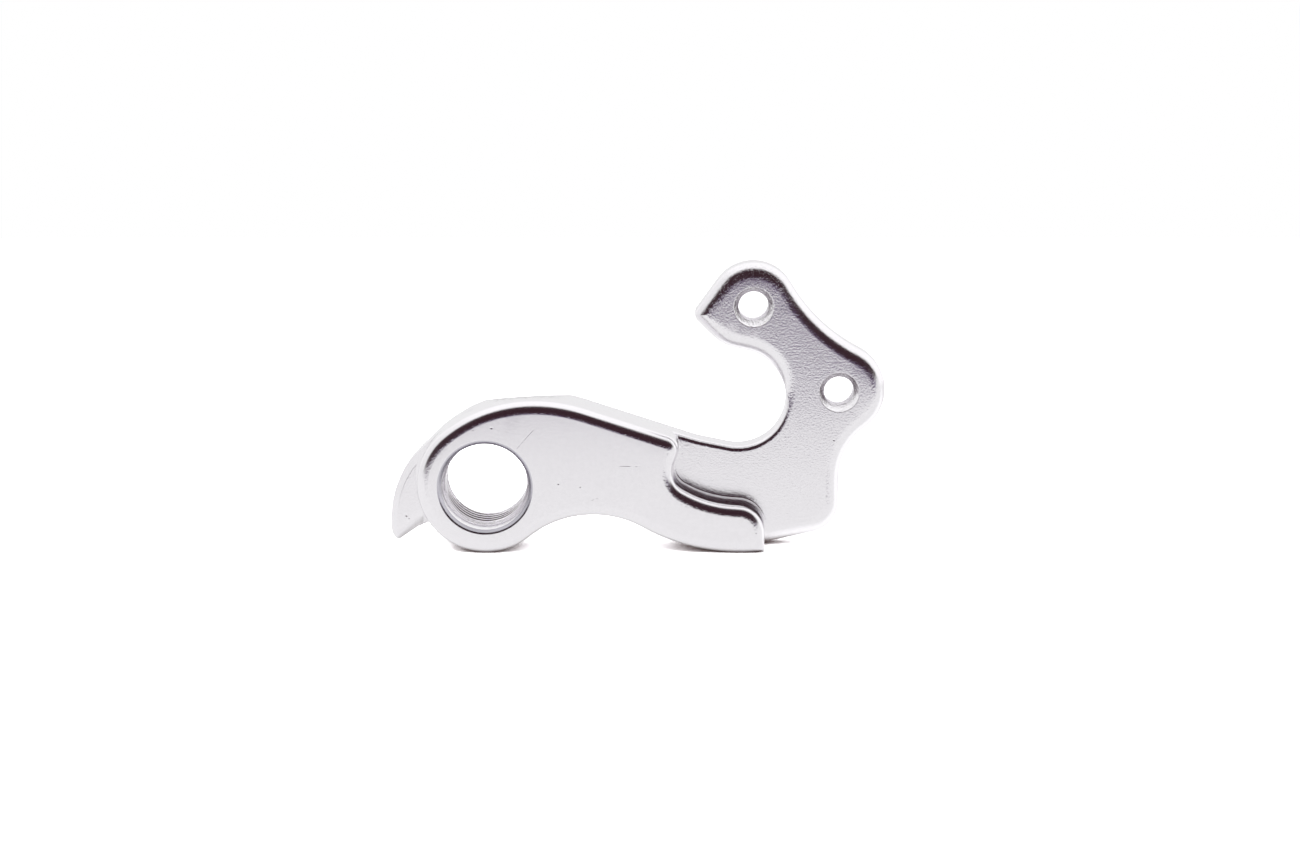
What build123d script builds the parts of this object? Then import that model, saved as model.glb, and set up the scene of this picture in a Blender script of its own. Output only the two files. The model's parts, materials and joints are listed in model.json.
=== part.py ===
from build123d import *
import math
import os

# Derailleur hanger, forged and machined from one piece of aluminium. Millimetres, +Z up.
# The origin is on the axis of the eye, in the plane where the plate seats on the frame's dropout.
# X runs from the eye to the axle slot, -Y points at the wheel and +Y at the derailleur.

# levels
plate_thickness = 4.0
arm_thickness = 8.0

# eye: M10 x 1 thread, bored to its tap size, with a plain lead-in and a chamfered rim on the wheel side
boss_radius = 7.5
boss_flare = 0.45
boss_flare_height = 0.45
eye_tap_diameter = 9.0
lead_in_clearance = 0.3
lead_in_depth = 2.5
lead_in_half_angle = 45.0
eye_rim_chamfer = 0.3
eye_rim_break = 0.15
eye_rim_break_slope = 22.5
eye_back_chamfer = 0.45

# crown of the arm, from the tab over the eye and down to the slot
crown_radius = 15.8
crown_touch_angle = 130.0
shoulder_radius = 18.0
crown_relief_start = 0.13
crown_relief_slope = 12.4
crown_relief_tilt = 3.3

# stop tab for the derailleur's angle screw
tab_slope = 45.0
tab_flat = 2.5
tab_radius = 10.5
tab_stop_z = -7.6
tab_stop_slope = 34.0
tab_notch_radius = 0.9
tab_nose_z = -5.7
tab_nose_radius = 1.35
tab_nose_turn = 55.0

# underside of the arm: a hollow between the eye and the lip, which both stand at one level
hollow_radius = 11.2
lip_x = 27.9
lip_radius = 22.0
foot_slope = 12.5
foot_corner_radius = 3.5

# right side of the plate
side_x = 39.0
waist_radius = 7.0

# fixing holes: M4 threads, bored to their tap size and countersunk on both faces
upper_hole_x = 29.39
upper_hole_z = 19.31
lower_hole_x = 38.85
lower_hole_z = 9.84
hole_tap_diameter = 3.3
hole_rim_diameter = 4.45
hole_half_angle = 45.0
lobe_radius = 4.8
lower_lobe_radius = 5.15
flank_radius = 19.0

# axle slot, open to the left under the hook
slot_x = 27.75
slot_z = 9.03
slot_radius = 5.3
slot_low_slope = 11.5
slot_low_length = 3.47
slot_high_slope = 13.0
slot_blend_radius = 12.0
hook_slope = 54.0
flare_start = 1.7
flare_radius = 5.0
flare_slope = 45.0
hook_tip_radius = 1.1
hook_tip_meet = 15.0
hook_under_start = 75.0
hook_under_turn = 4.2

# step between the arm and the plate
pocket_x = 20.12
pocket_z = 0.58
pocket_radius = 2.4
step_overhang = 1.5
step_top_radius = 1.6
ledge_run = 4.18
ledge_z = -1.84
ledge_radius = 12.0
ledge_length = 6.35
ledge_end_z = -2.28
ledge_end_radius = 2.9

# edges
arm_front_round = 1.35
plate_front_round = 1.7
tab_chamfer = 0.75
slot_round = 0.6
hook_under_round = 1.9
back_chamfer = 0.8
step_foot_round = 0.25

# room that the shaping blocks keep around the outline
margin = 8.0


def polar(center, radius, degrees):
    turn = math.radians(degrees)
    return (center[0] + radius * math.cos(turn), center[1] + radius * math.sin(turn))


def angle_of(center, point):
    return math.degrees(math.atan2(point[1] - center[1], point[0] - center[0]))


def arc(center, radius, start, end):
    return ThreePointArc(
        polar(center, radius, start),
        polar(center, radius, (start + end) / 2),
        polar(center, radius, end),
    )


def crossing(first, first_angle, second, second_angle):
    ax, ay = polar((0, 0), 1, first_angle)
    bx, by = polar((0, 0), 1, second_angle)
    dx = second[0] - first[0]
    dy = second[1] - first[1]
    reach = (dx * by - dy * bx) / (ax * by - ay * bx)
    return (first[0] + reach * ax, first[1] + reach * ay)


def touching(left, left_radius, right, right_radius, radius, side):
    # centre of the circle that touches two others from outside, on the given side of their line
    to_left = left_radius + radius
    to_right = right_radius + radius
    span = math.dist(left, right)
    along = (to_left**2 - to_right**2 + span**2) / (2 * span)
    across = math.sqrt(to_left**2 - along**2)
    line = angle_of(left, right)
    return polar(polar(left, along, line), side * across, line + 90)


def rounded(before, corner, after, radius):
    # ends and middle of the arc that rounds a corner between two straight lines
    inward = angle_of(corner, before)
    outward = angle_of(corner, after)
    half = (outward - inward + 180) % 360 - 180
    reach = radius / abs(math.tan(math.radians(half / 2)))
    start = polar(corner, reach, inward)
    end = polar(corner, reach, outward)
    away = radius / abs(math.sin(math.radians(half / 2)))
    middle = polar(corner, away - radius, inward + half / 2)
    return start, middle, end


eye = (0.0, 0.0)
upper_hole = (upper_hole_x, upper_hole_z)
lower_hole = (lower_hole_x, lower_hole_z)
slot = (slot_x, slot_z)

# upper contour: tab, crown, shoulder and arm
crown = polar(eye, boss_radius - crown_radius, crown_touch_angle)
crown_top = polar(crown, crown_radius, 90)
crown_end = polar(crown, crown_radius, 90 + tab_slope)
tab_start = polar(crown_end, tab_flat, 180 + tab_slope)
tab = polar(tab_start, tab_radius, tab_slope - 90)
tab_side = polar(tab, tab_radius, 180)
nose = (tab_side[0] + tab_nose_radius, tab_nose_z)
nose_end = polar(nose, tab_nose_radius, 180 + tab_nose_turn)
shoulder = polar(crown_top, shoulder_radius, -90)

# the arm's straight top touches the shoulder and ends on the slot's lower side
slot_low = polar(slot, slot_radius, -90 - slot_low_slope)
arm_end = polar(slot_low, slot_low_length, 180 - slot_low_slope)
shoulder_view = math.degrees(math.acos(shoulder_radius / math.dist(shoulder, arm_end)))
arm_slope = 90 - angle_of(shoulder, arm_end) - shoulder_view
shoulder_end = polar(shoulder, shoulder_radius, 90 - arm_slope)

# mouth of the slot, from the arm round the slot to the hook
slot_high = polar(slot, slot_radius, 90 - slot_high_slope)
blend_start, blend_middle, blend_end = rounded(shoulder_end, arm_end, slot_low, slot_blend_radius)
flare_from = polar(slot_high, flare_start, 180 - slot_high_slope)
flare = polar(flare_from, flare_radius, 90 - slot_high_slope)
flare_to = polar(flare, flare_radius, 270 - flare_slope)

# the hook's tip is rounded until it nearly lines up with the hook's outer side
hook_side = polar(upper_hole, lobe_radius - hook_tip_radius, 90 + hook_slope)
tip_line = polar(flare_to, hook_tip_radius, 90 - flare_slope)
tip = crossing(tip_line, 180 - flare_slope, hook_side, hook_slope)
tip_start = polar(tip, hook_tip_radius, 270 - flare_slope)
tip_turn = 90 + hook_slope + hook_tip_meet
tip_end = polar(tip, hook_tip_radius, tip_turn)

# outer contour: hook, flank, waist, foot, lip, hollow, boss and the tab's stop edge
hook_top = polar(upper_hole, lobe_radius, 90 + hook_slope)
flank = touching(upper_hole, lobe_radius, lower_hole, lower_lobe_radius, flank_radius, 1)
waist_x = side_x + waist_radius
waist_drop = math.sqrt((lower_lobe_radius + waist_radius) ** 2 - (waist_x - lower_hole_x) ** 2)
waist = (waist_x, lower_hole_z - waist_drop)
lip = (lip_x, lip_radius - boss_radius)
foot_start = polar(lip, lip_radius, foot_slope - 90)
foot_corner = crossing(foot_start, foot_slope, (side_x, 0.0), 90)
side_start = (side_x, waist[1])
foot_round = rounded(side_start, foot_corner, foot_start, foot_corner_radius)
hollow = touching(eye, boss_radius, lip, lip_radius, hollow_radius, -1)
boss_start = angle_of(eye, hollow)
lip_start = angle_of(lip, hollow)

# the notch between the boss and the stop edge is rounded by a circle that touches both
tab_tip = (tab_side[0], tab_stop_z)
stop_line = polar(tab_tip, tab_notch_radius, tab_stop_slope - 90)
stop_gap = (eye[0] - stop_line[0]) * math.sin(math.radians(tab_stop_slope))
stop_gap = stop_gap - (eye[1] - stop_line[1]) * math.cos(math.radians(tab_stop_slope))
stop_foot = polar(eye, stop_gap, tab_stop_slope + 90)
notch_reach = math.sqrt((boss_radius + tab_notch_radius) ** 2 - stop_gap**2)
notch = polar(stop_foot, notch_reach, tab_stop_slope + 180)
notch_end = polar(notch, tab_notch_radius, tab_stop_slope + 90)
notch_angle = angle_of(eye, notch)

# shaping block 1: all that lies under the arm's top and inside the mouth
left = tab_side[0] - margin
right = lower_hole_x + lower_lobe_radius + margin
top = upper_hole_z + lobe_radius + margin
bottom = -boss_radius - margin
crown_split = 90 + (crown_touch_angle - 90) * 2 / 3
arm_leave = polar(crown, crown_radius, crown_split - 3)
arm_far = crossing(arm_leave, crown_split - 3 - 90, (left, 0.0), 90)
tip_far = crossing(tip_end, tip_turn - 90, (0.0, top), 0)
within_mouth = make_face(
    [
        Line((left, bottom), arm_far),
        Line(arm_far, arm_leave),
        arc(crown, crown_radius, crown_split - 3, 90),
        arc(shoulder, shoulder_radius, 90, 90 - arm_slope),
        Line(shoulder_end, blend_start),
        ThreePointArc(blend_start, blend_middle, blend_end),
        Line(blend_end, slot_low),
        arc(slot, slot_radius, -90 - slot_low_slope, 90 - slot_high_slope),
        Line(slot_high, flare_from),
        arc(flare, flare_radius, 270 - slot_high_slope, 270 - flare_slope),
        Line(flare_to, tip_start),
        arc(tip, hook_tip_radius, 270 - flare_slope, tip_turn),
        Line(tip_end, tip_far),
        Line(tip_far, (right, top)),
        Line((right, top), (right, bottom)),
        Line((right, bottom), (left, bottom)),
    ]
)

# shaping block 2: all that lies outside the upper part of the mouth, which it leaves in a tighter turn
under_turn = polar(slot, slot_radius - hook_under_turn, hook_under_start)
under_leave = polar(under_turn, hook_under_turn, -90 - slot_high_slope)
under_far = crossing(under_leave, 180 - slot_high_slope, (left, 0.0), 90)
hook_far = crossing(flare_to, 180 - flare_slope, (0.0, top), 0)
within_hook = make_face(
    [
        Line((left, bottom), under_far),
        Line(under_far, under_leave),
        arc(under_turn, hook_under_turn, -90 - slot_high_slope, hook_under_start),
        arc(slot, slot_radius, hook_under_start, 90 - slot_high_slope),
        Line(slot_high, flare_from),
        arc(flare, flare_radius, 270 - slot_high_slope, 270 - flare_slope),
        Line(flare_to, hook_far),
        Line(hook_far, (right, top)),
        Line((right, top), (right, bottom)),
        Line((right, bottom), (left, bottom)),
    ]
)

# shaping block 3: all that lies inside the tab and the crown's left half
nose_low = polar(nose_end, margin / 2, tab_nose_turn - 90)
tab_leave = polar(crown, crown_radius, crown_split + 3)
tab_far = crossing(tab_leave, crown_split + 3 - 90, (0.0, top), 0)
within_tab = make_face(
    [
        Line((nose_low[0], bottom), nose_low),
        Line(nose_low, nose_end),
        arc(nose, tab_nose_radius, 180 + tab_nose_turn, 180),
        Line((tab_side[0], tab_nose_z), tab_side),
        arc(tab, tab_radius, 180, 90 + tab_slope),
        Line(tab_start, crown_end),
        arc(crown, crown_radius, 90 + tab_slope, crown_split + 3),
        Line(tab_leave, tab_far),
        Line(tab_far, (right, top)),
        Line((right, top), (right, bottom)),
        Line((right, bottom), (nose_low[0], bottom)),
    ]
)

# shaping block 4: all that lies inside the outer contour
roof = crown_top[1] + margin / 4
hook_end = crossing(hook_top, hook_slope, (0.0, roof), 0)
stop_end = crossing(tab_tip, tab_stop_slope, (left, 0.0), 90)
within_rim = make_face(
    [
        Line(hook_end, hook_top),
        arc(upper_hole, lobe_radius, 90 + hook_slope, angle_of(upper_hole, flank)),
        arc(flank, flank_radius, angle_of(flank, upper_hole) % 360, angle_of(flank, lower_hole) % 360),
        arc(lower_hole, lower_lobe_radius, angle_of(lower_hole, flank), angle_of(lower_hole, waist)),
        arc(waist, waist_radius, angle_of(waist, lower_hole) % 360, 180),
        Line(side_start, foot_round[0]),
        ThreePointArc(*foot_round),
        Line(foot_round[2], foot_start),
        arc(lip, lip_radius, foot_slope - 90, lip_start),
        arc(hollow, hollow_radius, angle_of(hollow, lip), angle_of(hollow, eye)),
        arc(eye, boss_radius, boss_start, notch_angle),
        arc(notch, tab_notch_radius, notch_angle + 180, tab_stop_slope + 90),
        Line(notch_end, stop_end),
        Line(stop_end, (left, roof)),
        Line((left, roof), hook_end),
    ]
)

# step: from the arm's top down to the pocket, along the ledge and down the end of the lip
step_top = crossing(shoulder_end, -arm_slope, (pocket_x + step_overhang, 0.0), 90)
pocket = (pocket_x, pocket_z)
ledge = (pocket_x + ledge_run, ledge_z)
lip_end_x = pocket_x + ledge_run + ledge_length
ledge_end = (lip_end_x, ledge_end_z)
lip_drop = math.sqrt(lip_radius**2 - (lip_end_x - lip_x) ** 2)
lip_corner = (lip_end_x, lip[1] - lip_drop)
top_round = rounded(shoulder_end, step_top, pocket, step_top_radius)
pocket_round = rounded(step_top, pocket, ledge, pocket_radius)
ledge_round = rounded(pocket, ledge, ledge_end, ledge_radius)
end_round = rounded(ledge, ledge_end, lip_corner, ledge_end_radius)
arm_outline = make_face(
    [
        Line(shoulder_end, top_round[0]),
        ThreePointArc(*top_round),
        Line(top_round[2], pocket_round[0]),
        ThreePointArc(*pocket_round),
        Line(pocket_round[2], ledge_round[0]),
        ThreePointArc(*ledge_round),
        Line(ledge_round[2], end_round[0]),
        ThreePointArc(*end_round),
        Line(end_round[2], lip_corner),
        arc(lip, lip_radius, angle_of(lip, lip_corner), lip_start),
        arc(hollow, hollow_radius, angle_of(hollow, lip), angle_of(hollow, eye)),
        arc(eye, boss_radius, boss_start, crown_touch_angle - 360),
        arc(crown, crown_radius, crown_touch_angle, 90),
        arc(shoulder, shoulder_radius, 90, 90 - arm_slope),
    ]
)


def front_edges(solid):
    return solid.faces().sort_by(Axis.Y)[0].edges()


def back_edges(solid):
    return solid.faces().sort_by(Axis.Y)[-1].edges()


def contour_only(edges):
    # the edges that are not on the straight outer sides of a shaping block
    inside = []
    for edge in edges:
        spot = edge.center()
        beside = spot.X < left + 0.1 or spot.X > right - 0.1
        above_or_below = spot.Z < bottom + 0.1 or spot.Z > top - 0.1
        if not beside and not above_or_below:
            inside.append(edge)
    return inside


# plate level, chamfered behind and on the tab, with a small rounding at the slot and fuller ones elsewhere
outer_face = Plane.XZ.offset(-plate_thickness)


def shaping_block(face):
    block = extrude(outer_face * face, plate_thickness)
    return chamfer(contour_only(back_edges(block)), back_chamfer)


def rounded_block(face, front_round):
    block = shaping_block(face)
    return fillet(contour_only(front_edges(block)), front_round)


mouth_block = rounded_block(within_mouth, slot_round)
hook_block = rounded_block(within_hook, hook_under_round)
rim_block = rounded_block(within_rim, plate_front_round)
tab_block = shaping_block(within_tab)
tab_block = chamfer(contour_only(front_edges(tab_block)), tab_chamfer)
plate = rim_block & mouth_block
plate = plate & hook_block
plate = plate & tab_block

# arm level, raised from the middle of the plate's rim
arm_start = (back_chamfer + plate_thickness - plate_front_round) / 2
arm = extrude(outer_face.offset(arm_start) * arm_outline, arm_thickness - arm_start)
arm = fillet(front_edges(arm), arm_front_round)
hanger = plate + arm

upright = (Align.CENTER, Align.CENTER, Align.MIN)

# the boss widens towards the tab
sector = make_face(
    Polyline(
        eye,
        polar(eye, boss_radius + margin, crown_touch_angle),
        polar(eye, boss_radius + margin, (crown_touch_angle + notch_angle % 360) / 2),
        polar(eye, boss_radius + margin, notch_angle),
        close=True,
    )
)
flare_depth = plate_thickness - arm_start + boss_flare_height
flare_base = boss_radius + boss_flare * flare_depth / boss_flare_height
boss_cone = outer_face * Location((0, 0, arm_start)) * Cone(
    flare_base, boss_radius, flare_depth, align=upright
)
boss_cone = boss_cone & extrude(outer_face * sector, arm_thickness)
boss_cone = boss_cone & extrude(outer_face * within_tab, arm_thickness)
boss_cone = boss_cone & extrude(outer_face * within_rim, arm_thickness)
hanger = hanger + boss_cone

# the step meets the plate in a small hollow rounding
arm_rim = arm_outline.faces()[0].outer_wire()
step_foot = []
for edge in hanger.edges().filter_by_position(Axis.Y, 0, 0):
    spot = edge.center()
    middle = edge.position_at(0.5)
    if spot.X > pocket_x and arm_rim.distance_to(Vector(middle.X, middle.Z, 0)) < 0.001:
        step_foot.append(edge)
hanger = fillet(step_foot, step_foot_round)

# behind, the crown falls away in a slanting flat
relief_place = (crown_top[0], crown_relief_start, crown_top[1])
relief_turn = (-crown_relief_slope, -crown_relief_tilt, 0)
relief_box = Box(2 * shoulder_end[0], 4 * arm_thickness, margin, align=upright)
hanger -= Location(relief_place, relief_turn) * relief_box


def bored(center, level):
    return outer_face * Location((center[0], center[1], level))


# eye
lead_in_radius = eye_tap_diameter / 2 + lead_in_clearance
lead_in_cone = lead_in_clearance / math.tan(math.radians(lead_in_half_angle))
lead_in_level = arm_thickness - lead_in_depth
hanger -= bored(eye, 0) * Cylinder(eye_tap_diameter / 2, arm_thickness, align=upright)
hanger -= bored(eye, lead_in_level) * Cylinder(lead_in_radius, lead_in_depth, align=upright)
hanger -= bored(eye, lead_in_level - lead_in_cone) * Cone(
    eye_tap_diameter / 2, lead_in_radius, lead_in_cone, align=upright
)
hanger -= bored(eye, 0) * Cone(
    eye_tap_diameter / 2 + eye_back_chamfer, eye_tap_diameter / 2, eye_back_chamfer, align=upright
)

# the eye's rim: a chamfer whose outer edge is broken by a narrow, flatter cone
rim_break_depth = eye_rim_break * math.tan(math.radians(eye_rim_break_slope))
rim_radius = lead_in_radius + eye_rim_chamfer
hanger -= bored(eye, arm_thickness - rim_break_depth) * Cone(
    rim_radius, rim_radius + eye_rim_break, rim_break_depth, align=upright
)
hanger -= bored(eye, arm_thickness - rim_break_depth - eye_rim_chamfer) * Cone(
    lead_in_radius, rim_radius, eye_rim_chamfer, align=upright
)

# fixing holes
hole_chamfer = (hole_rim_diameter - hole_tap_diameter) / 2 / math.tan(math.radians(hole_half_angle))
for hole in (upper_hole, lower_hole):
    hanger -= bored(hole, 0) * Cylinder(hole_tap_diameter / 2, plate_thickness, align=upright)
    hanger -= bored(hole, 0) * Cone(
        hole_rim_diameter / 2, hole_tap_diameter / 2, hole_chamfer, align=upright
    )
    hanger -= bored(hole, plate_thickness - hole_chamfer) * Cone(
        hole_tap_diameter / 2, hole_rim_diameter / 2, hole_chamfer, align=upright
    )

hanger = hanger.solids()[0] if len(hanger.solids()) == 1 else hanger
os.makedirs("parts", exist_ok=True)
export_step(hanger, "parts/hanger.step")
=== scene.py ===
import json
import math
import bmesh
import bpy
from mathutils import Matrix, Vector


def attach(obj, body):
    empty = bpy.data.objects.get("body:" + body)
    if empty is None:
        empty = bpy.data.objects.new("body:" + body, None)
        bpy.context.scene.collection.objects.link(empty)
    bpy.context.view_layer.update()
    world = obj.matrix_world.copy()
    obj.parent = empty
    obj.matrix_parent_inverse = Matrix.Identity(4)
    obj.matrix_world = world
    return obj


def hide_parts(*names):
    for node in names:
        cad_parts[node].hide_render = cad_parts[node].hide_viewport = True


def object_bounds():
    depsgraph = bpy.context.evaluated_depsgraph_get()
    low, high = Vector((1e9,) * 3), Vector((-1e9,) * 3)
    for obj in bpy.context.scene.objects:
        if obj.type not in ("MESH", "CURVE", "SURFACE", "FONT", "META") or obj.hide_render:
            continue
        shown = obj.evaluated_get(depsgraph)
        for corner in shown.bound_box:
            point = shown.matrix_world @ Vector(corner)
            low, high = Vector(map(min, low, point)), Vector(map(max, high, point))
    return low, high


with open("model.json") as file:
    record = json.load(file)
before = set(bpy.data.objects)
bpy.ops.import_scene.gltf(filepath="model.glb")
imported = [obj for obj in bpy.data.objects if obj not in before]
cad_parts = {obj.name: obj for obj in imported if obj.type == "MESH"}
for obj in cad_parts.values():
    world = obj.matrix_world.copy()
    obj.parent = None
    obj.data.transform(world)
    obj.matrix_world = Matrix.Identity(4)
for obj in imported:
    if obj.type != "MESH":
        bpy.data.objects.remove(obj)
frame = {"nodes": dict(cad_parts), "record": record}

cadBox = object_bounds()
mm = 0.001  # sizes below are in millimetres
print("frame loaded", sorted(frame["nodes"]))

# kinds of node and settings that come up again and again
mathNode, vectorNode, rangeNode = "ShaderNodeMath", "ShaderNodeVectorMath", "ShaderNodeMapRange"
mixNode, splitNode, noiseNode = "ShaderNodeMix", "ShaderNodeSeparateXYZ", "ShaderNodeTexNoise"
add, subtract = {"operation": "ADD"}, {"operation": "SUBTRACT"}
multiply, divide = {"operation": "MULTIPLY"}, {"operation": "DIVIDE"}
multiplyAdd, scaled = {"operation": "MULTIPLY_ADD"}, {"operation": "SCALE"}
larger, smaller = {"operation": "MAXIMUM"}, {"operation": "MINIMUM"}
distance = {"operation": "DISTANCE"}
smooth = {"interpolation_type": "SMOOTHSTEP"}
falling = {"To Min": 1.0, "To Max": 0.0}
colourMix, valueMix = {"data_type": "RGBA"}, {"data_type": "FLOAT"}
white = (1.0, 1.0, 1.0, 1.0)


def linearColour(code):
    # sRGB hex to linear
    parts = [int(code[i:i + 2], 16) / 255 for i in (1, 3, 5)]
    return tuple(p / 12.92 if p <= 0.04045 else ((p + 0.055) / 1.055) ** 2.4 for p in parts) + (1.0,)


def addNode(tree, kind, settings=None, inputs=None):
    # an input takes a value, an output, or a node, whose first output in use is linked
    node = tree.nodes.new(kind)
    for name, value in (settings or {}).items():
        setattr(node, name, value)
    for name, value in (inputs or {}).items():
        socket = node.inputs[name]
        if isinstance(value, bpy.types.Node):
            value = next(output for output in value.outputs if output.enabled)
        if isinstance(value, bpy.types.NodeSocket):
            tree.links.new(value, socket)
        else:
            socket.default_value = value
    return node


# camera, at the photograph's angle
shot = {
    "place": (18.0425, -317.797, 68.739),
    "target": (18.0425, -4.0, 6.0365),
    "focalPixels": 2940.8,
    "widthPixels": 1300,
    "sensor": 36.0,
    "clip": (10.0, 20000.0),
}


def makeCamera():
    data = bpy.data.cameras.new("photoCamera")
    data.sensor_width = shot["sensor"]
    data.lens = shot["focalPixels"] * shot["sensor"] / shot["widthPixels"]
    data.clip_start, data.clip_end = [reach * mm for reach in shot["clip"]]
    camera = bpy.data.objects.new("photoCamera", data)
    bpy.context.scene.collection.objects.link(camera)
    place = Vector(shot["place"]) * mm
    camera.location = place
    camera.rotation_euler = (Vector(shot["target"]) * mm - place).to_track_quat("-Z", "Y").to_euler()
    bpy.context.scene.camera = camera
    print("camera set, lens", round(data.lens, 2))


# white paper sheet: matt and even, with a painted shade only where the part stands close over it
sheet = {
    "front": -116.0,
    "back": 260.0,
    "halfWidth": 600.0,
    "colour": "#F4F4F4",
    "shown": 3.5,  # times brighter to the camera alone, so that the sheet shows white
    "mirrored": 0.9,  # share of a painted glow in what the metal mirrors
    "glow": (1.02, 1.3),  # level of that glow, elsewhere and behind the plate's lower edge
    "glowFront": (-3.0, 0.5),  # stretches over which it rises to the second level
    "glowBack": (34.0, 14.0),
    "glowLeft": (5.0, 18.0),
    # colour of the painted shade under the part
    "paintedShadeColour": "#4A3634",
    "contactReach": 4.0,  # height of the gap that is dark to the camera
    "contact": (0.02, 0.3),  # openness of the gap, from darkest to plain
    "underReach": 9.0,  # the same two in what the metal mirrors
    "under": (0.04, 0.4),
    "shadeSamples": 8,
}


def makeSheet(level):
    left, right = -sheet["halfWidth"] * mm, sheet["halfWidth"] * mm
    front, back = sheet["front"] * mm, sheet["back"] * mm
    mesh = bpy.data.meshes.new("studioSheet")
    corners = [(left, front, level), (right, front, level), (right, back, level), (left, back, level)]
    mesh.from_pydata(corners, [], [(0, 1, 2, 3)])
    stage = bpy.data.objects.new("studioSheet", mesh)
    bpy.context.scene.collection.objects.link(stage)
    material = bpy.data.materials.new("whitePaperSheet")
    material.use_nodes = True
    tree = material.node_tree
    tree.nodes.clear()
    paths = addNode(tree, "ShaderNodeLightPath").outputs
    where = addNode(tree, "ShaderNodeTexCoord").outputs["Object"]
    spot = addNode(tree, splitNode, None, {0: where}).outputs

    def shadeUnder(reach, ends):
        # painted shade, dark where the part stands close over the sheet
        gap = addNode(tree, "ShaderNodeAmbientOcclusion", {"samples": sheet["shadeSamples"]},
                      {"Distance": reach * mm})
        clear = addNode(tree, rangeNode, smooth,
                        {"Value": gap.outputs["AO"], "From Min": ends[0], "From Max": ends[1]})
        return addNode(tree, mixNode, colourMix,
                       {"Factor": clear, "A": linearColour(sheet["paintedShadeColour"]), "B": white})

    # matt paper, which the camera and the lamp meet, darkened by the painted shade
    gain = addNode(tree, mathNode, multiplyAdd,
                   {0: paths["Is Camera Ray"], 1: sheet["shown"] - 1.0, 2: 1.0})
    shaded = addNode(tree, mixNode, {"data_type": "RGBA", "blend_type": "MULTIPLY"},
                     {"Factor": 1.0, "A": linearColour(sheet["colour"]),
                      "B": shadeUnder(sheet["contactReach"], sheet["contact"])})
    seen = addNode(tree, vectorNode, scaled, {0: shaded, "Scale": gain})
    paper = addNode(tree, "ShaderNodeBsdfDiffuse", None, {"Color": seen})

    # painted glow, which only the metal mirrors: brighter behind the plate's lower edge, and darkened by
    # the painted shade close under the part
    near = 1.0
    for axis, ends in (("Y", sheet["glowFront"]), ("Y", sheet["glowBack"]), ("X", sheet["glowLeft"])):
        rise = addNode(tree, rangeNode, smooth,
                       {"Value": spot[axis], "From Min": ends[0] * mm, "From Max": ends[1] * mm})
        near = addNode(tree, mathNode, multiply, {0: rise, 1: near})
    low, high = sheet["glow"]
    strength = addNode(tree, mathNode, multiplyAdd, {0: near, 1: high - low, 2: low})
    glow = addNode(tree, "ShaderNodeEmission", None,
                   {"Color": shadeUnder(sheet["underReach"], sheet["under"]), "Strength": strength})
    share = addNode(tree, mathNode, multiply, {0: paths["Is Glossy Ray"], 1: sheet["mirrored"]})
    surface = addNode(tree, "ShaderNodeMixShader", None, {0: share, 1: paper, 2: glow})
    addNode(tree, "ShaderNodeOutputMaterial", None, {"Surface": surface})
    mesh.materials.append(material)
    print("sheet laid at", round(level / mm, 3), "mm")


# soft lamp, above and to the left of the camera's side
softLamp = {
    "size": (250.0, 180.0),
    "place": (-90.0, -120.0, 250.0),
    "power": 0.9,
}


def makeLamp(level):
    data = bpy.data.lights.new("softLamp", "AREA")
    data.shape = "RECTANGLE"
    data.size, data.size_y = [size * mm for size in softLamp["size"]]
    data.energy = softLamp["power"]
    lamp = bpy.data.objects.new("softLamp", data)
    bpy.context.scene.collection.objects.link(lamp)
    x, y, z = softLamp["place"]
    lamp.location = (x * mm, y * mm, level + z * mm)
    lamp.visible_glossy = False
    lamp.visible_camera = False
    print("lamp hung")


# surround: white paper all round, which the metal mirrors, but for the dark room behind the lens
# a pair without a note is the two ends of a soft change, along one axis of a direction
surround = {
    "paper": 1.0,
    "paperColour": "#FFFFFF",
    "fill": 0.4,  # its level as light on matt surfaces
    "roomColour": "#39252C",
    "roomLow": (-0.12, 0.05),
    "roomLowRise": (0.1, 0.25),  # how the room's sill rises to the left and to the right
    "roomHigh": (-0.38, -0.24),
    "overhead": 1.22,
    "overheadStart": (-0.3, -0.05),
    "overheadEnd": (0.7, 0.95),
    "behind": 0.95,
    "leftSide": (-0.9, -0.4),
    "tableEdge": (-12.4, -6.0),  # the same, in degrees from the level
    "tableEdgeFront": (-0.85, -0.45),
    "tableEdgeColour": "#64507A",
}


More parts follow.
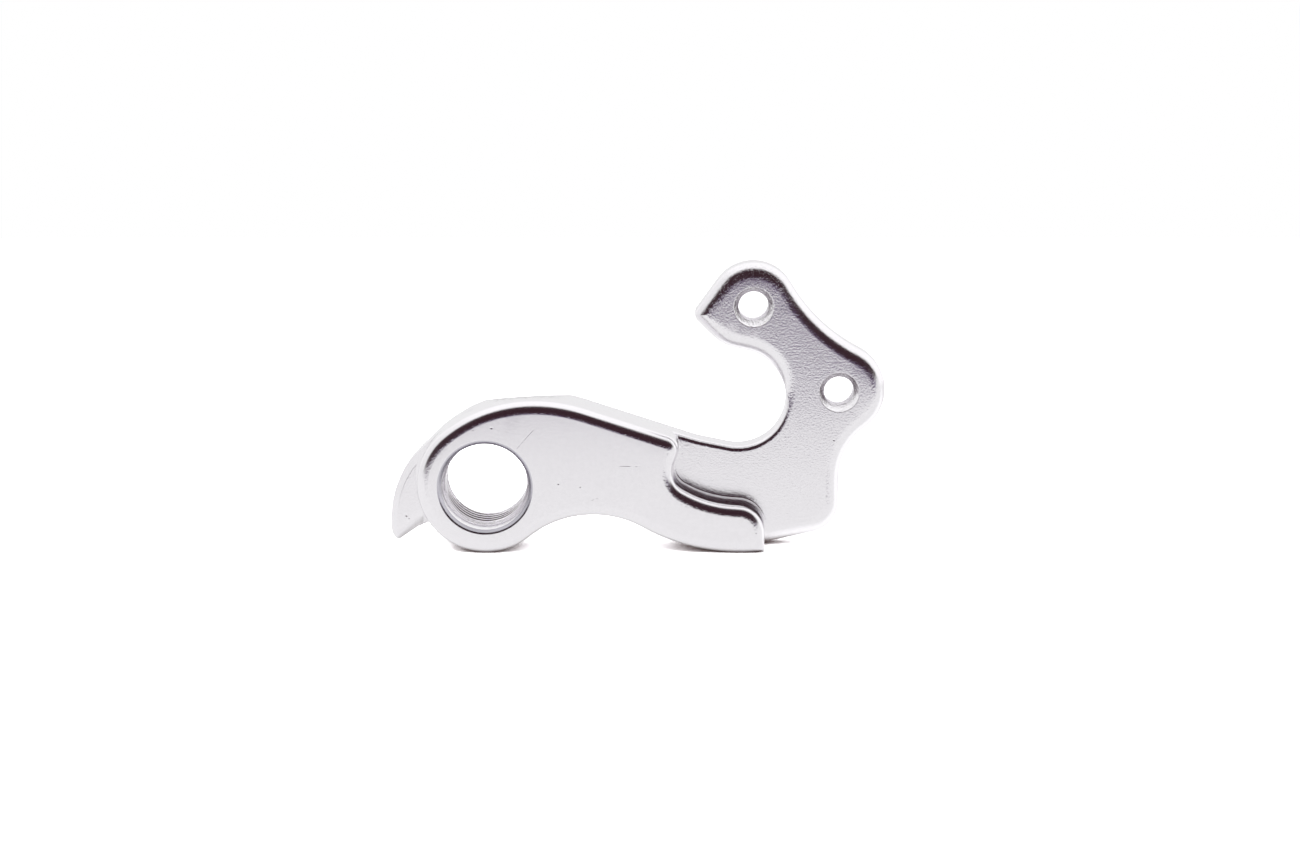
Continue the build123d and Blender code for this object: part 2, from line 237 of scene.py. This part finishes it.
def makeSurround():
    world = bpy.data.worlds.new("paperSurround")
    bpy.context.scene.world = world
    world.use_nodes = True
    tree = world.node_tree
    tree.nodes.clear()
    paths = addNode(tree, "ShaderNodeLightPath").outputs
    direction = addNode(tree, "ShaderNodeTexCoord").outputs["Generated"]
    way = addNode(tree, splitNode, None, {0: direction}).outputs

    # dark room, over a sill that curves up to both sides
    left, right = surround["roomLowRise"]
    onRight = addNode(tree, mathNode, {"operation": "GREATER_THAN"}, {0: way["X"], 1: 0.0})
    climb = addNode(tree, mathNode, multiplyAdd, {0: onRight, 1: right - left, 2: left})
    aside = addNode(tree, mathNode, multiply, {0: way["X"], 1: way["X"]})
    sill = addNode(tree, mathNode, multiply, {0: aside, 1: climb})
    overSill = addNode(tree, mathNode, subtract, {0: way["Z"], 1: sill})
    low, high = surround["roomLow"]
    opens = addNode(tree, rangeNode, smooth, {"Value": overSill, "From Min": low, "From Max": high})
    low, high = surround["roomHigh"]
    closes = addNode(tree, rangeNode, smooth,
                     {"Value": way["Y"], "From Min": low, "From Max": high, **falling})
    room = addNode(tree, mathNode, multiply, {0: opens, 1: closes})

    # lilac shade at the front edge of the table
    low, high = surround["tableEdgeFront"]
    inFront = addNode(tree, rangeNode, smooth,
                      {"Value": way["Y"], "From Min": low, "From Max": high, **falling})
    low, high = [math.sin(math.radians(angle)) for angle in surround["tableEdge"]]
    rises = addNode(tree, rangeNode, smooth, {"Value": way["Z"], "From Min": low, "From Max": high})
    edge = addNode(tree, mathNode, multiply, {0: rises, 1: inFront})
    around = addNode(tree, mixNode, colourMix,
                     {"Factor": edge, "A": linearColour(surround["paperColour"]),
                      "B": linearColour(surround["tableEdgeColour"])})
    tint = addNode(tree, mixNode, colourMix,
                   {"Factor": room, "A": around, "B": linearColour(surround["roomColour"])})

    # level in reflections: brighter overhead but for the far left, and a little darker behind
    low, high = surround["overheadStart"]
    above = addNode(tree, rangeNode, smooth,
                    {"Value": way["Y"], "From Min": low, "From Max": high,
                     "To Min": 0.0, "To Max": surround["overhead"] - surround["paper"]})
    low, high = surround["leftSide"]
    notLeft = addNode(tree, rangeNode, smooth, {"Value": way["X"], "From Min": low, "From Max": high})
    extra = addNode(tree, mathNode, multiply, {0: above, 1: notLeft})
    bright = addNode(tree, mathNode, add, {0: extra, 1: surround["paper"]})
    low, high = surround["overheadEnd"]
    backward = addNode(tree, rangeNode, smooth, {"Value": way["Y"], "From Min": low, "From Max": high})
    mirrored = addNode(tree, mixNode, valueMix,
                       {"Factor": backward, "A": bright, "B": surround["behind"]})

    # plain white to the camera, and a dim white fill on matt surfaces
    plain = addNode(tree, mathNode, multiplyAdd,
                    {0: paths["Is Diffuse Ray"], 1: surround["fill"] - 1.0, 2: 1.0})
    strength = addNode(tree, mixNode, valueMix,
                       {"Factor": paths["Is Glossy Ray"], "A": plain, "B": mirrored})
    untinted = addNode(tree, mathNode, larger, {0: paths["Is Camera Ray"], 1: paths["Is Diffuse Ray"]})
    colour = addNode(tree, mixNode, colourMix, {"Factor": untinted, "A": tint, "B": white})
    light = addNode(tree, "ShaderNodeBackground", None, {"Color": colour, "Strength": strength})
    addNode(tree, "ShaderNodeOutputWorld", None, {"Surface": light})
    print("surround lit")


# hanger body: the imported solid, with thread turns in place of its plain bores
body = {
    "node": "hanger",
    "mergeDistance": 0.001,
    "sliver": 0.0001,  # shorter edges are dissolved
    "sharpAngle": 20.0,
    "wallSlack": 0.004,  # how far a bore's corners may lie off its radius
    "flatFacing": 0.99,  # faces that look more squarely to the front or back stay as forged
    "flatWeight": 50,
    "cutReach": {"derailleur_thread": 4.85, "upper_fixing_thread": 2.9, "lower_fixing_thread": 2.9},
    # reach of the eye's rim, which gets a painted shade
    "paintedRimShadeReach": {"derailleur_thread": 5.4},
    "threads": {
        "derailleur_thread": {"pitch": 1.0, "depth": 0.48, "runOut": 0.45},
        "upper_fixing_thread": {"pitch": 0.7, "depth": 0.22, "runOut": 0.3},
        "lower_fixing_thread": {"pitch": 0.7, "depth": 0.22, "runOut": 0.3},
    },
    "rowsPerTurn": 8,
    "grooveEnds": (0.2, 0.8),  # shares of half a turn over which a flank falls
    "turnNudge": 1e-5,  # keeps a row at the start of a turn in that turn
}


def threadTree():
    # a grid wound into a bore, whose rows follow the thread's helix
    tree = bpy.data.node_groups.new("threadTurns", "GeometryNodeTree")
    face = tree.interface
    sizes = ("Bore Radius", "Pitch", "Depth", "Run Out", "Front", "Back", "Turns", "Start Angle")
    for name in sizes:
        face.new_socket(name, in_out="INPUT", socket_type="NodeSocketFloat")
    for name in ("Sides", "Rows"):
        face.new_socket(name, in_out="INPUT", socket_type="NodeSocketInt")
    face.new_socket("Centre", in_out="INPUT", socket_type="NodeSocketVector")
    face.new_socket("Finish", in_out="INPUT", socket_type="NodeSocketMaterial")
    face.new_socket("Geometry", in_out="OUTPUT", socket_type="NodeSocketGeometry")
    start = addNode(tree, "NodeGroupInput").outputs

    columns = addNode(tree, mathNode, add, {0: start["Sides"], 1: 1.0})
    lines = addNode(tree, mathNode, add, {0: start["Rows"], 1: 1.0})
    grid = addNode(tree, "GeometryNodeMeshGrid", None,
                   {"Size X": 1.0, "Size Y": 1.0, "Vertices X": columns, "Vertices Y": lines})
    spot = addNode(tree, splitNode, None, {0: addNode(tree, "GeometryNodeInputPosition")}).outputs

    # depth along the bore, held between its two ends
    around = addNode(tree, mathNode, add, {0: spot["X"], 1: 0.5})
    along = addNode(tree, mathNode, add, {0: spot["Y"], 1: 0.5})
    wound = addNode(tree, mathNode, multiply, {0: along, 1: start["Turns"]})
    ahead = addNode(tree, mathNode, subtract, {0: wound, 1: around})
    free = addNode(tree, mathNode, multiplyAdd, {0: ahead, 1: start["Pitch"], 2: start["Front"]})
    stopped = addNode(tree, mathNode, smaller, {0: free, 1: start["Back"]})
    deep = addNode(tree, mathNode, larger, {0: stopped, 1: start["Front"]})

    # a groove over each turn, with flat crest and root, which runs out at both ends
    nudged = addNode(tree, mathNode, add, {0: wound, 1: body["turnNudge"]})
    phase = addNode(tree, mathNode, {"operation": "FRACT"}, {0: nudged})
    swing = addNode(tree, mathNode, multiplyAdd, {0: phase, 1: 2.0, 2: -1.0})
    offMiddle = addNode(tree, mathNode, {"operation": "ABSOLUTE"}, {0: swing})
    slope = addNode(tree, mathNode, subtract, {0: 1.0, 1: offMiddle})
    low, high = body["grooveEnds"]
    groove = addNode(tree, rangeNode, {"clamp": True}, {"Value": slope, "From Min": low, "From Max": high})
    for far, close in ((deep, start["Front"]), (start["Back"], deep)):
        toEnd = addNode(tree, mathNode, subtract, {0: far, 1: close})
        fade = addNode(tree, rangeNode, smooth,
                       {"Value": toEnd, "From Min": 0.0, "From Max": start["Run Out"]})
        groove = addNode(tree, mathNode, multiply, {0: groove, 1: fade})

    radius = addNode(tree, mathNode, multiplyAdd, {0: groove, 1: start["Depth"], 2: start["Bore Radius"]})
    angle = addNode(tree, mathNode, multiplyAdd, {0: around, 1: 2 * math.pi, 2: start["Start Angle"]})
    cosine = addNode(tree, mathNode, {"operation": "COSINE"}, {0: angle})
    sine = addNode(tree, mathNode, {"operation": "SINE"}, {0: angle})
    across = addNode(tree, mathNode, multiply, {0: radius, 1: cosine})
    upward = addNode(tree, mathNode, multiply, {0: radius, 1: sine})
    ring = addNode(tree, "ShaderNodeCombineXYZ", None, {"X": across, "Y": deep, "Z": upward})
    place = addNode(tree, vectorNode, add, {0: ring, 1: start["Centre"]})
    moved = addNode(tree, "GeometryNodeSetPosition", None, {"Geometry": grid, "Position": place})
    joined = addNode(tree, "GeometryNodeMergeByDistance", None,
                     {"Geometry": moved, "Distance": body["mergeDistance"] * mm})
    real = addNode(tree, "GeometryNodeRealizeInstances", None, {0: joined})
    done = addNode(tree, "GeometryNodeSetMaterial", None, {"Geometry": real, "Material": start["Finish"]})
    addNode(tree, "NodeGroupOutput", None, {"Geometry": done})
    return tree


def threadMesh(tree, values):
    # the tree's result as a plain mesh
    holder = bpy.data.objects.new("threadHolder", bpy.data.meshes.new("threadHolder"))
    bpy.context.scene.collection.objects.link(holder)
    modifier = holder.modifiers.new("threadTurns", "NODES")
    modifier.node_group = tree
    for item in tree.interface.items_tree:
        if item.in_out == "INPUT":
            modifier[item.identifier] = values[item.name]
    bpy.context.view_layer.update()
    mesh = bpy.data.meshes.new_from_object(holder.evaluated_get(bpy.context.evaluated_depsgraph_get()))
    holder.modifiers.remove(modifier)
    bpy.data.objects.remove(holder)
    return mesh


def boreWall(solid, centre, radius):
    # faces of one plain bore, its ends along Y, its count of sides and the angle of its top corner
    slack = body["wallSlack"] * mm
    on = {v for v in solid.verts if abs(math.hypot(v.co.x - centre.x, v.co.z - centre.z) - radius) < slack}
    faces = [face for face in solid.faces if all(v in on for v in face.verts)]
    corners = {v for face in faces for v in face.verts}
    levels = [v.co.y for v in corners]
    front, back = min(levels), max(levels)
    rim = [v for v in corners if v.co.y < front + slack]
    top = max(rim, key=lambda v: (v.co.z, v.co.x)).co  # not the set's first, which changes from run to run
    return faces, front, back, len(rim), math.atan2(top.z - centre.z, top.x - centre.x)


def cutThreads(solid, finish):
    tree = threadTree()
    for mount in frame["record"]["mounts"]:
        if mount["name"] not in body["threads"]:
            continue
        turn = body["threads"][mount["name"]]
        centre = Vector(mount["pos_m"])
        radius = mount["dims"]["r_mm"] * mm
        faces, front, back, sides, angle = boreWall(solid, centre, radius)
        bmesh.ops.delete(solid, geom=faces, context="FACES")
        turns = math.ceil((back - front) / (turn["pitch"] * mm)) + 1
        wall = threadMesh(tree, {
            "Bore Radius": radius, "Pitch": turn["pitch"] * mm, "Depth": turn["depth"] * mm,
            "Run Out": turn["runOut"] * mm, "Front": front, "Back": back, "Turns": float(turns),
            "Start Angle": angle, "Sides": sides, "Rows": turns * body["rowsPerTurn"],
            "Centre": (centre.x, 0.0, centre.z), "Finish": finish,
        })
        solid.from_mesh(wall)
        bpy.data.meshes.remove(wall)
        bmesh.ops.remove_doubles(solid, verts=solid.verts, dist=body["mergeDistance"] * mm)
        print("thread cut", mount["name"], sides, "sides", turns, "turns")


def markCutFaces(solid, layerName, reaches):
    # 1 on the faces round a bore that were cut after forging, which the finish reads by the layer's name;
    # on the eye's rim the finish greys them with a painted shade
    layer = solid.faces.layers.float.new(layerName)
    for mount in frame["record"]["mounts"]:
        reach = reaches.get(mount["name"], 0.0) * mm
        for face in solid.faces:
            spot = face.calc_center_median()
            inside = math.hypot(spot.x - mount["pos_m"][0], spot.z - mount["pos_m"][2]) < reach
            if inside and abs(face.normal.y) < body["flatFacing"]:
                face[layer] = 1.0


def makeBody(finish):
    solid = bmesh.new()
    solid.from_mesh(frame["nodes"][body["node"]].data)
    bmesh.ops.remove_doubles(solid, verts=solid.verts, dist=body["mergeDistance"] * mm)
    cutThreads(solid, finish)
    bmesh.ops.dissolve_degenerate(solid, edges=solid.edges, dist=body["sliver"] * mm)
    bmesh.ops.recalc_face_normals(solid, faces=solid.faces)
    # the eye's rim chamfer, which the finish greys with a painted shade
    markCutFaces(solid, "rim", body["paintedRimShadeReach"])
    markCutFaces(solid, "machined", body["cutReach"])
    limit = math.radians(body["sharpAngle"])
    for face in solid.faces:
        face.smooth = True
        face.material_index = 0
    for edge in solid.edges:
        edge.smooth = len(edge.link_faces) == 2 and edge.calc_face_angle() < limit
    openEdges = sum(len(edge.link_faces) != 2 for edge in solid.edges)
    mesh = bpy.data.meshes.new("hangerBody")
    solid.to_mesh(mesh)
    solid.free()
    stale = mesh.attributes.get("custom_normal")
    if stale:
        mesh.attributes.remove(stale)
    mesh.materials.clear()
    mesh.materials.append(finish)
    piece = bpy.data.objects.new("hangerBody", mesh)
    bpy.context.scene.collection.objects.link(piece)
    flat = piece.modifiers.new("flatFaces", "WEIGHTED_NORMAL")
    flat.keep_sharp = True
    flat.mode = "FACE_AREA"
    flat.weight = body["flatWeight"]
    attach(piece, "root")
    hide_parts(body["node"])
    print("body made", len(mesh.polygons), "faces", openEdges, "open edges")


# tumbled aluminium: forged, vibro finished and clear anodised, a soft grey sheen with a fine sandy grain
# the real grain is too fine to show in the render, so it is drawn as coarse as it needs to show
aluminium = {
    "colour": "#EAE8EB",
    "roughness": 0.2,
    "edgeSoftness": 0.14,
    "edgeSamples": 4,
    "noiseDetail": 2.0,
    "noiseRoughness": 0.6,
    "grain": 0.3,  # all over
    "grainDepth": 0.0035,
    "grainTone": 0.09,
    "plateGrain": 0.23,  # deeper on the plate
    "plateGrainDepth": 0.015,
    "plateLevel": (-3.0, -1.9),  # where it sets in behind the arm's face
    "edgeGrain": 0.24,  # deepest where an edge turns
    "edgeGrainDepth": 0.032,
    "edgeTurn": (-0.9995, -0.992),  # how squarely a face looks forward where it starts to turn
    "edgeSteep": (-0.97, -0.88),  # and where it has turned too far for grain
    "streak": (1.4, 0.4, 0.2),  # level streaks on the plate, right of the slot
    "streakDepth": 0.006,
    "streakCentre": (36.0, 0.0, 15.0),
    "streakReach": (3.0, 11.0),
    "speck": 0.2,  # specks near the hook and the slot
    "speckDepth": 0.008,
    "speckEnds": (0.56, 0.68),
    "speckSpots": (((28.5, 0.0, 21.0), (3.5, 8.0)), ((36.6, 0.0, 13.6), (0.7, 1.7))),
    "cutColour": "#F8F6F9",  # bores and countersinks, cut bright
    "cutRoughness": 0.16,
    "paintedRimShade": "#C4C2CA",  # the eye's rim, a painted shade that greys its chamfer
    "markDepth": 0.03,
    "pits": (((0.79, -4.0, 6.64), 0.16), ((-1.22, -4.0, 6.42), 0.09), ((8.03, -4.0, 0.43), 0.13),
             ((10.42, -4.0, 0.10), 0.11), ((29.68, -4.0, -5.11), 0.12), ((29.78, -4.0, -5.67), 0.12),
             ((-8.95, 0.0, -4.0), 0.2), ((-8.65, 0.0, -4.3), 0.16), ((38.31, 0.0, 4.5), 0.14)),
    "scratches": (((3.57, -4.0, 4.43), (5.31, -4.0, 6.42), 0.07),
                  ((10.97, -4.0, -1.68), (12.38, -4.0, -1.12), 0.07),
                  ((21.41, -4.0, -1.79), (22.28, -4.0, -2.23), 0.08),
                  ((14.78, -4.0, 2.43), (16.95, -4.0, 2.38), 0.06)),
    "scratchShare": 0.2,  # of the depth of a pit
    "skip": 0.45,  # breaks a scratch into short runs
    "skipEnds": (0.4, 0.55),
}


def tumbledAluminium():
    material = bpy.data.materials.new("tumbledAnodisedAluminium")
    material.use_nodes = True
    tree = material.node_tree
    tree.nodes.clear()
    where = addNode(tree, "ShaderNodeTexCoord").outputs["Object"]
    level = addNode(tree, splitNode, None, {0: where}).outputs["Y"]
    facing = addNode(tree, "ShaderNodeNewGeometry").outputs["Normal"]
    forward = addNode(tree, splitNode, None, {0: facing}).outputs["Y"]

    def within(centre, reach):
        # 1 round a spot, fading to 0 at the end of its reach
        away = addNode(tree, vectorNode, distance, {0: where, 1: [c * mm for c in centre]})
        return addNode(tree, rangeNode, smooth,
                       {"Value": away, "From Min": reach[0] * mm, "From Max": reach[1] * mm, **falling})

    def fromLine(first, last):
        # distance from a scratch's line
        run = [(b - a) * mm for a, b in zip(first, last)]
        start = addNode(tree, vectorNode, subtract, {0: where, 1: [c * mm for c in first]})
        ahead = addNode(tree, vectorNode, {"operation": "DOT_PRODUCT"}, {0: start, 1: run})
        share = addNode(tree, mathNode, divide, {0: ahead, 1: sum(r * r for r in run)})
        begun = addNode(tree, mathNode, larger, {0: share, 1: 0.0})
        ended = addNode(tree, mathNode, smaller, {0: begun, 1: 1.0})
        foot = addNode(tree, vectorNode, scaled, {0: run, "Scale": ended})
        return addNode(tree, vectorNode, distance, {0: start, 1: foot})

    fineness = {"Detail": aluminium["noiseDetail"], "Roughness": aluminium["noiseRoughness"]}
    noises = {}
    for name in ("grain", "plateGrain", "edgeGrain", "speck", "skip"):
        noises[name] = addNode(tree, noiseNode, None,
                               {"Vector": where, "Scale": 1 / (aluminium[name] * mm), **fineness})

    # grain on the plate, and on edges where they start to turn
    low, high = aluminium["plateLevel"]
    onPlate = addNode(tree, rangeNode, smooth,
                      {"Value": level, "From Min": low * mm, "From Max": high * mm})
    sandy = addNode(tree, mathNode, multiply, {0: noises["plateGrain"], 1: onPlate})
    low, high = aluminium["edgeTurn"]
    turning = addNode(tree, rangeNode, smooth, {"Value": forward, "From Min": low, "From Max": high})
    low, high = aluminium["edgeSteep"]
    gentle = addNode(tree, rangeNode, smooth,
                     {"Value": forward, "From Min": low, "From Max": high, **falling})
    turned = addNode(tree, mathNode, multiply, {0: turning, 1: gentle})
    pecked = addNode(tree, mathNode, multiply, {0: noises["edgeGrain"], 1: turned})

    # level streaks and specks, each round its own spots
    stretched = addNode(tree, vectorNode, divide, {0: where, 1: [s * mm for s in aluminium["streak"]]})
    drawn = addNode(tree, noiseNode, None, {"Vector": stretched, "Scale": 1.0, **fineness})
    streaks = addNode(tree, mathNode, multiply,
                      {0: drawn, 1: within(aluminium["streakCentre"], aluminium["streakReach"])})
    low, high = aluminium["speckEnds"]
    grit = addNode(tree, rangeNode, smooth, {"Value": noises["speck"], "From Min": low, "From Max": high})
    rough = 0.0
    for centre, reach in aluminium["speckSpots"]:
        rough = addNode(tree, mathNode, larger, {0: within(centre, reach), 1: rough})
    specks = addNode(tree, mathNode, multiply, {0: grit, 1: rough})

    # pits, and scratches that come and go
    worn = 0.0
    for spot, size in aluminium["pits"]:
        worn = addNode(tree, mathNode, larger, {0: within(spot, (0.0, size)), 1: worn})
    low, high = aluminium["skipEnds"]
    touching = addNode(tree, rangeNode, smooth,
                       {"Value": noises["skip"], "From Min": low, "From Max": high})
    for first, last, size in aluminium["scratches"]:
        groove = addNode(tree, rangeNode, smooth,
                         {"Value": fromLine(first, last), "From Min": 0.0, "From Max": size * mm,
                          "To Min": aluminium["scratchShare"], "To Max": 0.0})
        broken = addNode(tree, mathNode, multiply, {0: groove, 1: touching})
        worn = addNode(tree, mathNode, larger, {0: broken, 1: worn})

    normal = addNode(tree, "ShaderNodeBevel", {"samples": aluminium["edgeSamples"]},
                     {"Radius": aluminium["edgeSoftness"] * mm})
    reliefs = ((noises["grain"], aluminium["grainDepth"]), (sandy, aluminium["plateGrainDepth"]),
               (pecked, aluminium["edgeGrainDepth"]), (streaks, aluminium["streakDepth"]),
               (specks, aluminium["speckDepth"]), (worn, -aluminium["markDepth"]))
    for height, depth in reliefs:
        normal = addNode(tree, "ShaderNodeBump", None,
                         {"Strength": 1.0, "Distance": depth * mm, "Height": height, "Normal": normal})

    # brighter and smoother where the metal is cut, greyer on the eye's rim by a painted shade, uneven with
    # the grain
    cut = addNode(tree, "ShaderNodeAttribute", {"attribute_name": "machined"}).outputs["Fac"]
    rim = addNode(tree, "ShaderNodeAttribute", {"attribute_name": "rim"}).outputs["Fac"]
    uneven = addNode(tree, mathNode, subtract, {0: noises["grain"], 1: 0.5})
    tone = addNode(tree, mathNode, multiplyAdd, {0: uneven, 1: aluminium["grainTone"], 2: 1.0})
    skinWithRimShade = addNode(tree, mixNode, colourMix,
                   {"Factor": rim, "A": linearColour(aluminium["colour"]),
                    "B": linearColour(aluminium["paintedRimShade"])})
    bare = addNode(tree, mixNode, colourMix,
                   {"Factor": cut, "A": skinWithRimShade, "B": linearColour(aluminium["cutColour"])})
    colour = addNode(tree, vectorNode, scaled, {0: bare, "Scale": tone})
    sheen = addNode(tree, mixNode, valueMix,
                    {"Factor": cut, "A": aluminium["roughness"], "B": aluminium["cutRoughness"]})
    metal = addNode(tree, "ShaderNodeBsdfPrincipled", None,
                    {"Base Color": colour, "Metallic": 1.0, "Roughness": sheen, "Normal": normal})
    addNode(tree, "ShaderNodeOutputMaterial", None, {"Surface": metal})
    print("finish made", material.name)
    return material


bpy.context.scene.view_settings.view_transform = "Standard"
makeCamera()
makeBody(tumbledAluminium())
makeSheet(cadBox[0].z)
makeLamp(cadBox[0].z)
makeSurround()
